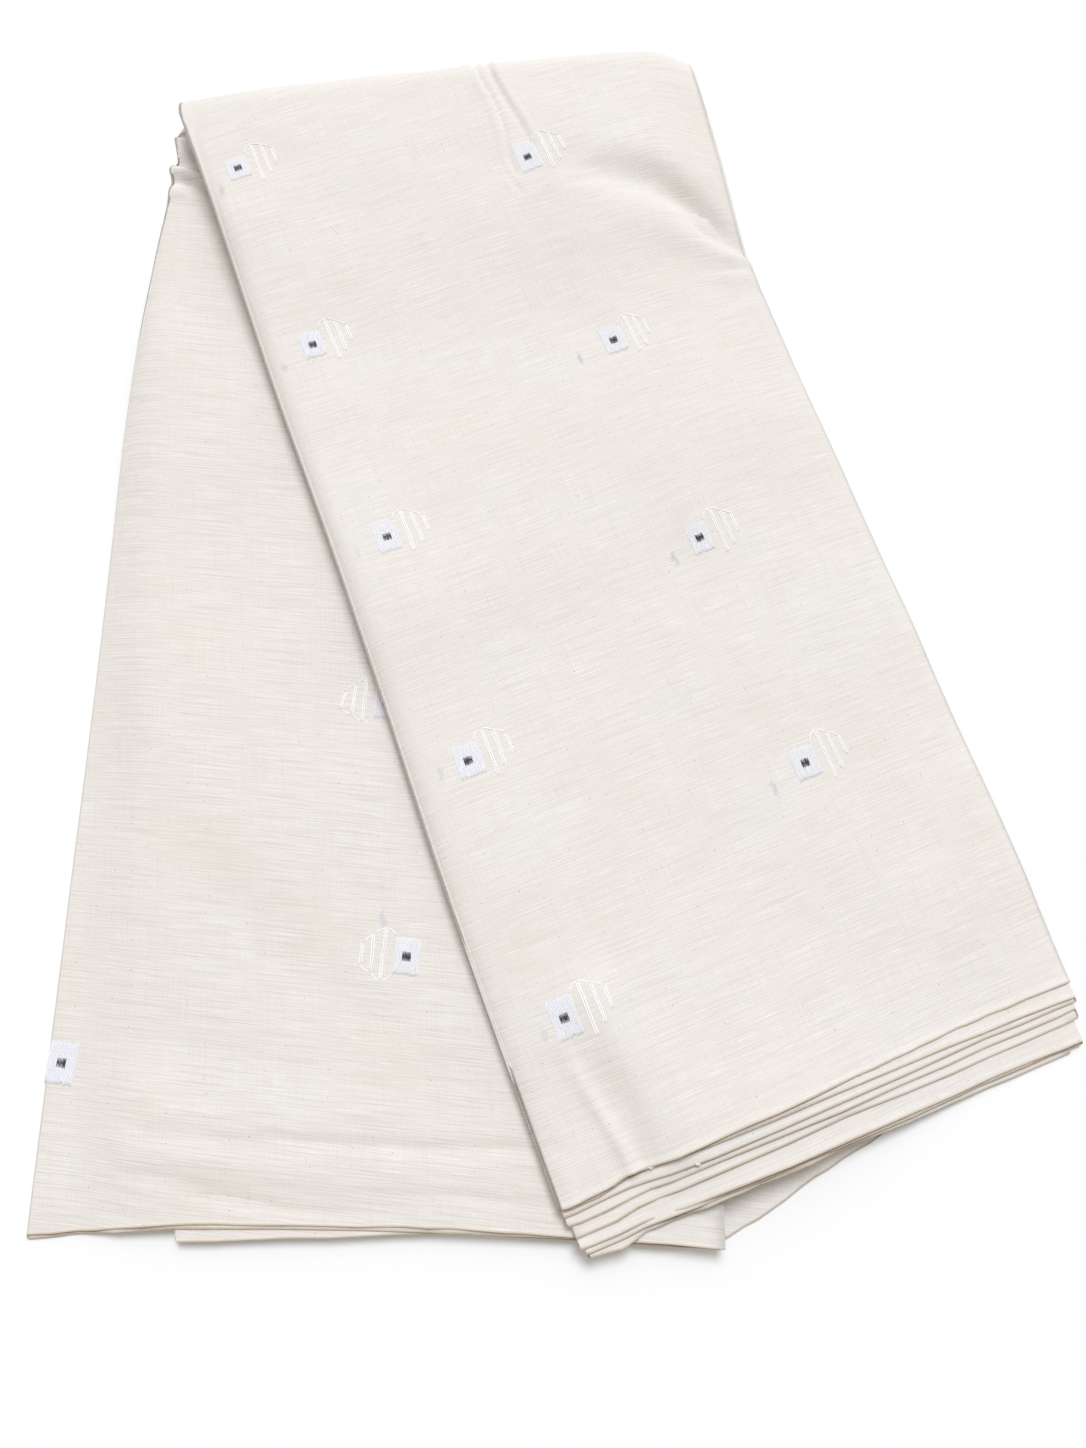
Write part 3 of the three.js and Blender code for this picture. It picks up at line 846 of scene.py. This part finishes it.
CLOTH_LIGHT = colour(237, 232.5, 229)
CLOTH_DARK = colour(217, 211, 203)
CLOTH_WARM = colour(235, 221, 212)
SLUB_LIGHT = colour(250, 248, 243)
NEP = colour(166, 144, 122)
# Tan of the free ends: partly the selvedge's own browner thread, partly painted shade for the shadow line
# under each layer's edge
SELVEDGE_AND_SHADE = colour(200, 183, 159)
SHOW_THROUGH = colour(196, 201, 208)

# Patterns of the weave: the lengths of their grains in mm along the warp and the weft
PATTERNS = {
    "warp": {"stretch": (34, 0.6, 1), "detail": 3.0, "roughness": 0.6},
    "weft": {"stretch": (0.66, 26, 1)},
    "slub": {"stretch": (15, 0.5, 1), "detail": 1.0},
    "cloud": {"stretch": (70, 46, 1)},
    "weave": {"stretch": (0.55, 0.5, 1), "detail": 1.0},
}

# What each pattern does to the colour: from and to in the pattern, greatest share, colour
TINTS = (
    ("warp", 0.42, 0.72, 0.72, CLOTH_DARK),
    ("weft", 0.46, 0.76, 0.34, CLOTH_DARK),
    ("cloud", 0.42, 0.72, 0.3, CLOTH_WARM),
    ("slub", 0.6, 0.74, 0.6, SLUB_LIGHT),
    ("weave", 0.35, 0.7, 0.14, CLOTH_DARK),
)
RELIEF = (("warp", 1.6), ("weft", 0.8), ("weave", 0.7))
RELIEF_BUMP = {"strength": 0.5, "distance": 0.0003}
LAST_LAYER = (LAYERS - 0.6, LAYERS - 0.4)
LAST_LAYER_STREAKS = 1.35
NEP_CELL = 8.5
NEP_SIZE = 0.036
NEP_CORE = 0.6
NEP_KEPT = 0.55
NEP_SHARE = 0.85
# Painted shade in part: band over about the last millimetre of each free end that takes the tan above
SELVEDGE_SHADE_BAND = (0.25, 0.9)
SELVEDGE_SHADE_SHARE = 0.75
SHOW_THROUGH_SHARE = 0.8
LAYER_SPREAD = 7.0

# Show-through of the cut ends below the top layer: leg, layer, place in the layout, strength
SMUDGE_SIZE = (1.5, 3.9)
SMUDGE_FADE = (0.5, 1.15)
SMUDGE_WOBBLE = (5.0, 6.0, 0.0)
SMUDGE_WOBBLE_GRAIN = (2.6, 2.6, 1)
SMUDGES = [
    (RIGHT_LEG, 1, 18.3, 180.5, 1.0),
    (RIGHT_LEG, 1, 61.6, 73.9, 0.9),
    (RIGHT_LEG, 1, 102.3, -35.0, 0.75),
    (RIGHT_LEG, 1, -163.9, 272.9, 0.7),
    (RIGHT_LEG, 1, -126.6, 173.4, 0.6),
    (RIGHT_LEG, 1, -85.9, 73.8, 0.3),
    (RIGHT_LEG, 1, -44.9, -29.4, 0.5),
    (RIGHT_LEG, 1, 0.6, -139.4, 0.45),
    (RIGHT_LEG, 1, -18.7, 277.5, 0.3),
    (LEFT_LEG, 8, -69.8, -90.8, 0.6),
]


def cloth_at(leg, layer, x, y):
    """Place on the cloth of a place in the layout."""
    across, down = leg_coordinates(leg, x, y)
    stop = {"facing": -1 if layer % 2 else 1, "layer": layer}
    return cloth_place(leg, stop, across, down)


def show_through(tree, cloth):
    """Soft bluish marks of loose thread ends that lie under the top layer."""
    wobble = noise(tree, cloth, SMUDGE_WOBBLE_GRAIN, output="Color")
    wobble = vector_maths(tree, "SUBTRACT", wobble, (0.5, 0.5, 0.5))
    place = vector_maths(tree, "ADD", cloth, vector_maths(tree, "MULTIPLY", wobble, SMUDGE_WOBBLE))
    total = 0.0
    for leg, layer, x, y, strength in SMUDGES:
        along_warp, along_weft, _ = cloth_at(leg, layer, x, y)
        near = vector_maths(tree, "SUBTRACT", place, (along_warp, along_weft, layer))
        near = vector_maths(tree, "MULTIPLY", near, (1 / SMUDGE_SIZE[0], 1 / SMUDGE_SIZE[1], LAYER_SPREAD))
        away = vector_maths(tree, "LENGTH", near, output="Value")
        total = maths(tree, "ADD", total, ramp(tree, away, *SMUDGE_FADE, strength, 0.0))
    return total


def cotton_material():
    """Unbleached handloom cotton: slubs along the warp, fainter ones along the weft, neps."""
    material, tree, shader = new_material("handloom_cotton", sheen=0.12)
    cloth = add_node(tree, "ShaderNodeAttribute", attribute_name="cloth").outputs["Vector"]
    edge = add_node(tree, "ShaderNodeAttribute", attribute_name="edge").outputs["Fac"]
    spread = vector_maths(tree, "MULTIPLY", cloth, (1, 1, LAYER_SPREAD))
    patterns = {name: noise(tree, spread, **grain) for name, grain in PATTERNS.items()}
    parts = add_node(tree, "ShaderNodeSeparateXYZ")
    set_input(tree, parts, 0, cloth)
    streaks = ramp(tree, parts.outputs[2], *LAST_LAYER, 1.0, LAST_LAYER_STREAKS)
    base = CLOTH_LIGHT
    for name, low, high, amount, tint in TINTS:
        share = ramp(tree, patterns[name], low, high)
        if name == "warp":
            share = maths(tree, "MULTIPLY", share, streaks)
        base = mix(tree, maths(tree, "MULTIPLY", share, amount), base, tint)
    cells = add_node(tree, "ShaderNodeTexVoronoi", voronoi_dimensions="2D")
    flat = vector_maths(tree, "MULTIPLY", spread, (1 / NEP_CELL, 1 / NEP_CELL, 1))
    set_input(tree, cells, "Vector", flat)
    set_input(tree, cells, "Scale", 1.0)
    dot = ramp(tree, cells.outputs["Distance"], NEP_SIZE * NEP_CORE, NEP_SIZE, 1.0, 0.0)
    pick = add_node(tree, "ShaderNodeSeparateColor")
    set_input(tree, pick, 0, cells.outputs["Color"])
    kept = ramp(tree, pick.outputs[0], NEP_KEPT, 1.0, 0.0, NEP_SHARE)
    base = mix(tree, maths(tree, "MULTIPLY", dot, kept), base, NEP)
    smudged = maths(tree, "MULTIPLY", show_through(tree, cloth), SHOW_THROUGH_SHARE)
    base = mix(tree, smudged, base, SHOW_THROUGH)
    # Painted shade in part: the cloth turns tan at each free end, for its browner selvedge thread and for
    # the shadow line under the edge
    base = mix(tree, ramp(tree, edge, *SELVEDGE_SHADE_BAND, SELVEDGE_SHADE_SHARE, 0.0), base, SELVEDGE_AND_SHADE)
    tree.links.new(base, shader.inputs["Base Color"])
    raised = 0.0
    for name, amount in RELIEF:
        raised = maths(tree, "ADD", raised, maths(tree, "MULTIPLY", patterns[name], amount))
    bump(tree, shader, raised, **RELIEF_BUMP)
    return material


TWIST_SHADES = (0.4, 0.75)
TWIST_BUMP = {"strength": 0.4, "distance": 0.0001}


def thread_material(name, light, dark, grain_mm):
    """Spun thread: two shades along its twist, with a fine bump."""
    material, tree, shader = new_material(name, roughness=0.8, sheen=0.15)
    place = add_node(tree, "ShaderNodeTexCoord").outputs["Object"]
    twist = noise(tree, place, (MM * grain_mm,) * 3)
    tree.links.new(mix(tree, ramp(tree, twist, *TWIST_SHADES), light, dark), shader.inputs["Base Color"])
    bump(tree, shader, twist, **TWIST_BUMP)
    return material


# Cloth
skin = folded_sheet()
smooth = np.arange(len(skin["faces"])) < skin["smooth_faces"]
sheet = new_piece("jamdani_sheet", skin["points"], skin["faces"], [cotton_material()], smooth=smooth)
cloth_attribute = sheet.data.attributes.new("cloth", "FLOAT_VECTOR", "POINT")
cloth_attribute.data.foreach_set("vector", skin["cloth"].ravel())
edge_attribute = sheet.data.attributes.new("edge", "FLOAT", "POINT")
edge_attribute.data.foreach_set("value", skin["edge"])
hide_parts("jamdani_cloth")
surface = BVHTree.FromPolygons(skin["points"].tolist(), skin["faces"].tolist())

SKY = 60
ABOVE_LEFT = 1.3


def visible_height(leg, x, y):
    """Height of the cloth that shows on a leg."""
    top = SKY
    if leg is LEFT_LEG:
        _, down = leg_coordinates(leg, x, y)
        top = float(left_height(LAYERS, x, y, down)) + ABOVE_LEFT
    hit = surface.ray_cast(Vector((x, y, top)), Vector((0, 0, -1)))[0]
    return hit.z if hit else SOLID_SHEET


def tube(path, half_width, half_height, up=(0, 0, 1), sides=6, tip=0.45):
    """Closed flattened thread along a path, with narrower tips: points and faces."""
    path = np.asarray(path, float)
    along = np.gradient(path, axis=0)
    along /= np.linalg.norm(along, axis=1, keepdims=True)
    sideways = np.cross(along, up)
    sideways /= np.linalg.norm(sideways, axis=1, keepdims=True)
    upward = np.cross(sideways, along)
    angle = 2 * math.pi * np.arange(sides) / sides
    size = np.ones(len(path))
    size[[0, -1]] = tip
    wide, high = half_width * np.cos(angle)[:, None], half_height * np.sin(angle)[:, None]
    rings = path[:, None] + size[:, None, None] * (wide * sideways[:, None] + high * upward[:, None])
    number = np.arange(len(path) * sides).reshape(len(path), sides)
    following = np.roll(number, -1, axis=1)
    walls = np.stack([number[:-1], number[1:], following[1:], following[:-1]], -1).reshape(-1, 4)
    faces = [tuple(face) for face in walls] + [tuple(number[0]), tuple(number[-1][::-1])]
    return rings.reshape(-1, 3), faces


def joined(parts):
    """Points, faces and material numbers of several closed meshes."""
    points, faces, slots, start = [], [], [], 0
    for part_points, part_faces, slot in parts:
        points.append(part_points)
        faces += [tuple(int(i) + start for i in face) for face in part_faces]
        slots += [slot] * len(part_faces)
        start += len(part_points)
    return np.concatenate(points), faces, slots


# Motifs: a block of extra weft with a dark centre, and shorter and shorter lines beside it
MOTIF_COLUMNS = ("leg", "x", "y", "width", "length", "spacing", "lines")
MOTIFS = [
    (RIGHT_LEG, -156.4, 286.2, 11.2, 13.5, 4.8, True),
    (RIGHT_LEG, -113.7, 186.7, 10.8, 14.5, 4.6, True),
    (RIGHT_LEG, -72.8, 83.2, 10.8, 15.5, 4.8, True),
    (RIGHT_LEG, -33.0, -23.1, 11.5, 15.5, 4.9, True),
    (RIGHT_LEG, 8.8, -132.2, 11.2, 17.2, 5.1, True),
    (RIGHT_LEG, -8.0, 293.9, 11.2, 17.0, 4.6, True),
    (RIGHT_LEG, 34.9, 190.3, 10.5, 14.8, 4.0, True),
    (RIGHT_LEG, 73.6, 84.4, 10.2, 15.2, 4.4, True),
    (RIGHT_LEG, 117.0, -22.9, 11.8, 14.5, 4.8, True),
    (LEFT_LEG, -72.0, 7.6, 11.4, 15.5, 5.2, True),
    (LEFT_LEG, -58.9, -106.8, 11.4, 15.8, 4.8, True),
    (LEFT_LEG, -205.3, -150.7, 12.4, 17.5, 4.8, False),
]
RIGHT_MOTIF_AXES = (direction(math.radians(21.8)), -direction(math.radians(90 + 21.7)))
LEFT_MOTIF_AXES = (-direction(math.radians(-5.8)), direction(math.radians(90 - 5)))
LINE_LENGTHS = {"right": (23.5, 17.5, 9.5), "left": (22.3, 15.5, 9.0)}
FIRST_LINE_GAP = 4.6
LINE_UP = (0.2, 0.4, 1.2)
LINE_LIFT = 0.07
PAIR_GAP = 0.95
BLOCK_OVERLAP = 0.4
TOP_WANDER = 0.3
FOOT_WANDER = 0.4
JOG_AT = (0.5, 0.7)
JOG_LENGTH = 0.8
JOG_WANDER = 0.25
SPACING_SHARE = (0.95, 1.02)
JOIN_LIFT = 0.1
JOIN_OUT = 0.9
JOIN_AT = (0.55, 0.45)
JOIN_WANDER = 0.04
THREAD = {"half_width": 0.33, "half_height": 0.17}
JOINING_THREAD = {"half_width": 0.26, "half_height": 0.15}
CENTRE = 3.8
BLOCK_RIBS = {"pitch": 0.62, "width": 0.33, "height": 0.15, "lift": 0.04, "ends": 0.22, "wander": 0.03}
CENTRE_RIBS = {"pitch": 0.55, "width": 0.3, "height": 0.15, "lift": 0.16, "ends": 0.12, "wander": 0.04}
SPECKS = {"count": 3, "reach": 1.2, "length": 0.7, "lift": 0.26, "wander": 0.02}
SPECK_THREAD = {"half_width": 0.14, "half_height": 0.12}
THREAD_STEP = 1.3
WHITE, BLOCK, DARK, GREY = range(4)


def thread_path(motif, ends, lift, draw, wander=0.08):
    """Path over the cloth through places given along and across a motif's threads."""
    across_axis, along_axis = motif["axes"]
    ends = np.asarray(ends, float)
    length = np.concatenate([[0], np.cumsum(np.hypot(*np.diff(ends, axis=0).T))])
    count = max(int(length[-1] / THREAD_STEP), 2) + 1
    at = np.linspace(0, length[-1], count)
    along, across = np.interp(at, length, ends[:, 0]), np.interp(at, length, ends[:, 1])
    across = across + draw.normal(0, wander, count)
    x = motif["x"] + along * along_axis[0] + across * across_axis[0]
    y = motif["y"] + along * along_axis[1] + across * across_axis[1]
    z = [visible_height(motif["leg"], *place) + lift for place in zip(x, y)]
    return np.stack([x, y, z], -1)


def ribs(motif, draw, width, length, rib, slot):
    """Threads side by side that fill a block, with uneven ends."""
    parts = []
    for across in np.arange(-width / 2 + rib["pitch"] / 2, width / 2, rib["pitch"]):
        top, foot = -length / 2 + draw.normal(0, rib["ends"]), length / 2 + draw.normal(0, rib["ends"])
        path = thread_path(motif, [(top, across), (foot, across)], rib["lift"], draw, rib["wander"])
        parts.append((*tube(path, rib["width"], rib["height"]), slot))
    return parts


def motif_block(motif, draw):
    """White block, its dark centre, and a few grey specks on the centre."""
    parts = ribs(motif, draw, motif["width"], motif["length"], BLOCK_RIBS, BLOCK)
    parts += ribs(motif, draw, CENTRE, CENTRE, CENTRE_RIBS, DARK)
    for _ in range(SPECKS["count"]):
        along, across = draw.uniform(-SPECKS["reach"], SPECKS["reach"], 2)
        ends = [(along, across), (along + SPECKS["length"], across)]
        path = thread_path(motif, ends, SPECKS["lift"], draw, SPECKS["wander"])
        parts.append((*tube(path, **SPECK_THREAD), GREY))
    return parts


def motif_lines(motif, draw):
    """Pairs of threads beside the block, and the loose floats that join their ends."""
    parts = []
    side = "right" if motif["leg"] is RIGHT_LEG else "left"
    across = motif["width"] / 2 + FIRST_LINE_GAP
    half, edge = motif["length"] / 2, motif["width"] / 2 - BLOCK_OVERLAP
    tops, feet = [(-half, edge)], [(half, edge)]
    for length, up in zip(LINE_LENGTHS[side], LINE_UP):
        top = -length / 2 - up + draw.normal(0, TOP_WANDER)
        foot = length / 2 - up + draw.normal(0, FOOT_WANDER)
        step = draw.normal(0, JOG_WANDER)
        middle = lerp(top, foot, draw.uniform(*JOG_AT))
        for pair in (-0.5, 0.5):
            at = across + pair * PAIR_GAP
            start, end = top + draw.normal(0, TOP_WANDER), foot + draw.normal(0, FOOT_WANDER)
            ends = [(start, at), (middle, at), (middle + JOG_LENGTH, at + step), (end, at + step)]
            parts.append((*tube(thread_path(motif, ends, LINE_LIFT, draw), **THREAD), WHITE))
        tops.append((top, across))
        feet.append((foot, across))
        across += motif["spacing"] * draw.uniform(*SPACING_SHARE)
    joins = [tops] if side == "right" else [tops, feet]
    for ends in joins:
        out = JOIN_OUT if ends is tops else -JOIN_OUT
        for first, second in zip(ends, ends[1:]):
            middle = (lerp(first[0], second[0], JOIN_AT[0]) - out, lerp(first[1], second[1], JOIN_AT[1]))
            path = thread_path(motif, [first, middle, second], JOIN_LIFT, draw, JOIN_WANDER)
            parts.append((*tube(path, **JOINING_THREAD), WHITE))
    return parts


thread_materials = [
    thread_material("white_float_thread", colour(254, 254, 254), colour(248, 248, 250), 0.5),
    thread_material("white_block_weft", colour(244, 244, 250), colour(228, 229, 238), 0.6),
    thread_material("black_weft", colour(58, 57, 60), colour(92, 92, 98), 0.4),
    thread_material("grey_weft", colour(120, 120, 126), colour(92, 92, 98), 0.4),
]
for number, row in enumerate(MOTIFS, 1):
    draw = np.random.default_rng(100 + number)
    motif = dict(zip(MOTIF_COLUMNS, row))
    motif["axes"] = RIGHT_MOTIF_AXES if motif["leg"] is RIGHT_LEG else LEFT_MOTIF_AXES
    parts = motif_block(motif, draw)
    if motif["lines"]:
        parts += motif_lines(motif, draw)
    points, faces, slots = joined(parts)
    new_piece(f"motif_{number:02d}", points, faces, thread_materials, slots)

# Selvedges: the thicker edge thread at the end of each leg, coloured browner and darker, partly as its own
# thread colour and partly as painted shade for the shadow line under each layer's edge
SELVEDGE_RADIUS = 0.22
SELVEDGE_ROUGH = 0.1
SHORTEST_STEP = 0.05
# Painted shade in part: the cord's two colours are darkened to stand for the shadow line along each
# layer's edge
selvedge_shade_material = thread_material("selvedge_thread_painted_shade", colour(206, 190, 166), colour(172, 153, 126), 0.8)
for leg, name in ((RIGHT_LEG, "right"), (LEFT_LEG, "left")):
    draw = np.random.default_rng(7 if name == "right" else 8)
    path = skin["selvedges"][name]
    steps = np.linalg.norm(np.diff(path, axis=0), axis=1)
    path = path[np.concatenate([[True], steps > SHORTEST_STEP])]
    path = path + draw.normal(0, SELVEDGE_ROUGH, (len(path), 1)) * np.array([*leg["down"], 0])
    points, faces = tube(path, SELVEDGE_RADIUS, SELVEDGE_RADIUS, up=(*leg["down"], 0), sides=5)
    new_piece(f"selvedge_{name}", points, faces, [selvedge_shade_material])

# Loose threads on the right leg, and knots at the selvedges
LOOSE_THREADS = [
    ((-74.4, 69.1), (-71.5, 76), (-69.9, 83.5)),
    ((-63.7, 276.3), (-62.9, 291), (-62.7, 306.3)),
]
KNOTS = [(43.3, -189.9), (22.4, -207.8), (62.2, -188.4)]
LOOSE_POINTS = 14
LOOSE_LIFT = 0.1
LOOSE_THREAD = {"half_width": 0.16, "half_height": 0.12}
KNOT_RADIUS = 0.6
KNOT_FLAT = 0.6
KNOT_PINCH = 0.3
KNOT_LIFT = 0.3
KNOT_RISE = 0.25
KNOT_TURNS = 1.8
KNOT_POINTS = 26
KNOT_WAVES = (1.7, 2.3)
KNOT_THREAD = {"half_width": 0.2, "half_height": 0.2}
parts = []
for places in LOOSE_THREADS:
    path = np.array([
        FOLD_MIDDLE + across * RIGHT_LEG["across"] + down * RIGHT_LEG["down"] for across, down in places
    ])
    share = np.linspace(0, len(path) - 1, LOOSE_POINTS)
    x, y = (np.interp(share, range(len(path)), path[:, i]) for i in (0, 1))
    z = [visible_height(RIGHT_LEG, *place) + LOOSE_LIFT for place in zip(x, y)]
    parts.append((*tube(np.stack([x, y, z], -1), **LOOSE_THREAD), 0))
for x, y in KNOTS:
    turned = np.linspace(0, KNOT_TURNS * 2 * math.pi, KNOT_POINTS)
    size = KNOT_RADIUS * (1 - KNOT_PINCH * np.sin(turned * KNOT_WAVES[0]))
    knot_x, knot_y = x + size * np.cos(turned), y + KNOT_FLAT * size * np.sin(turned)
    z = [visible_height(RIGHT_LEG, *place) + KNOT_LIFT for place in zip(knot_x, knot_y)]
    knot_z = np.median(z) + KNOT_RISE * np.sin(turned * KNOT_WAVES[1])
    parts.append((*tube(np.stack([knot_x, knot_y, knot_z], -1), **KNOT_THREAD), 0))
points, faces, slots = joined(parts)
loose_material = thread_material("loose_thread", colour(252, 250, 246), colour(234, 228, 218), 0.6)
new_piece("loose_threads", points, faces, [loose_material], slots)

# Floor
FLOOR_BELOW = 0.0004
bpy.ops.mesh.primitive_plane_add(size=8, location=(0, 0, -FLOOR_BELOW))
floor = bpy.context.object
floor.name = "floor"
floor_material, _, floor_shader = new_material("pale_floor", roughness=1)
floor_shader.inputs["Base Color"].default_value = colour(248, 248, 248)
floor.data.materials.append(floor_material)

# Light
world = bpy.data.worlds.new("studio")
world.use_nodes = True
world.node_tree.nodes["Background"].inputs["Color"].default_value = (1, 0.945, 0.865, 1)
world.node_tree.nodes["Background"].inputs["Strength"].default_value = 0.52
scene.world = world
scene.view_settings.view_transform = "Standard"


def new_light(name, kind, energy, turned):
    light = bpy.data.objects.new(name, bpy.data.lights.new(name, kind))
    light.data.energy = energy
    light.rotation_euler = [math.radians(degrees) for degrees in turned]
    bpy.context.collection.objects.link(light)
    return light


key = new_light("key", "SUN", energy=2.09, turned=(-31, 6, 0))
key.data.color = (0.88, 0.933, 1)
key.data.angle = math.radians(25)
top_light = new_light("top_light", "AREA", energy=2.2, turned=(-36, 0, 0))
top_light.data.size = 1.0
top_light.location = (0, 0.9, 1.1)
